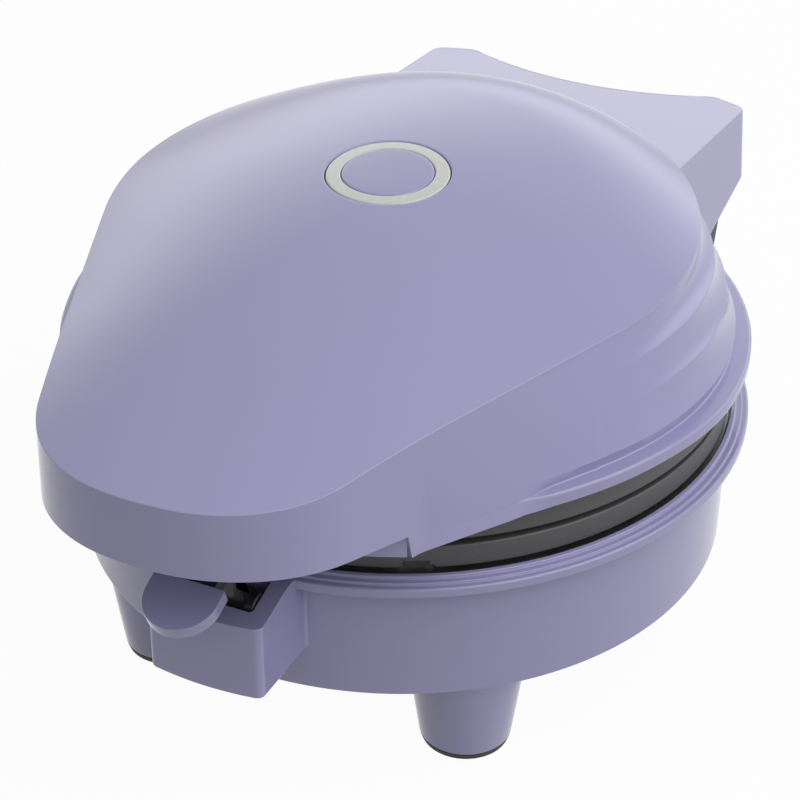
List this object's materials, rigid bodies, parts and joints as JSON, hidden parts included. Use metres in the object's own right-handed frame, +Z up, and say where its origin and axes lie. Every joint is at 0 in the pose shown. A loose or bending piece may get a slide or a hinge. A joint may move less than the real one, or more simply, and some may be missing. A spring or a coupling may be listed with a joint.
{
  "type": "multi grill",
  "caption": "Small round clamshell grill with an egg-shaped hinged lid, a sprung front latch tab, ribbed plates and round legs with pads.",
  "frame": {"origin": "on the table under the centre of the round plates, near the middle of the whole object", "axes": "+Z up, -Y towards the front latch, +Y towards the rear hinge wings, X across"},
  "size_m": [0.14, 0.2029, 0.1004],
  "materials": {
    "lavender_plastic": "glossy moulded",
    "black_plastic": "satin moulded",
    "pad_rubber": "matt",
    "coated_plate": "dark non-stick coat on a casting",
    "steel": "bright",
    "element_sheath": "heat-tinted",
    "white_plastic": "glossy translucent",
    "board": "glass-fibre board",
    "lamp": "clear tinted",
    "lead_sleeve": "silicone sleeve",
    "terminal_plastic": "satin",
    "control_metal": "plain"
  },
  "bodies": {
    "base": {"base_leads": "lead_sleeve", "base_shell": "lavender_plastic", "bracket_screws": "steel", "cord_gland": "black_plastic", "foot_pad_front_left": "pad_rubber", "foot_pad_front_right": "pad_rubber", "foot_pad_rear_left": "pad_rubber", "foot_pad_rear_right": "pad_rubber", "hinge_bracket": "black_plastic", "hinge_rod": "steel", "latch_pin": "steel", "latch_spring": "steel", "lower_clips": "steel", "lower_element": "element_sheath", "lower_plate": "coated_plate", "lower_reflector": "steel", "lower_saddles": "steel", "reflector_screws": "steel", "terminal_block": "terminal_plastic", "thermal_fuse": "control_metal", "thermostat": "control_metal"},
    "latch": {"latch_lever": "black_plastic", "latch_tab": "lavender_plastic"},
    "lid": {"lid_shell": "lavender_plastic", "light_ring": "white_plastic", "ring_badge": "lavender_plastic", "lamp_board": "board", "ring_lamps": "lamp", "upper_reflector": "steel", "lid_screws": "steel", "upper_element": "element_sheath", "upper_saddles": "steel", "upper_plate": "coated_plate", "upper_clips": "steel", "lid_leads": "lead_sleeve"}
  },
  "joints": [
    {"name": "lid_hinge", "type": "hinge", "parent": "base", "child": "lid", "pos_m": [0, 0.081, 0.0545], "axis": [-1, 0, 0], "range_deg": [0, 93]},
    {"name": "latch_pivot", "type": "hinge", "parent": "base", "child": "latch", "pos_m": [0, -0.0745, 0.0448], "axis": [1, 0, 0], "range_deg": [0, 12], "stiffness_Nm_per_rad": 0.05, "springref_deg": -17.19, "deforming": ["latch_spring"]}
  ]
}
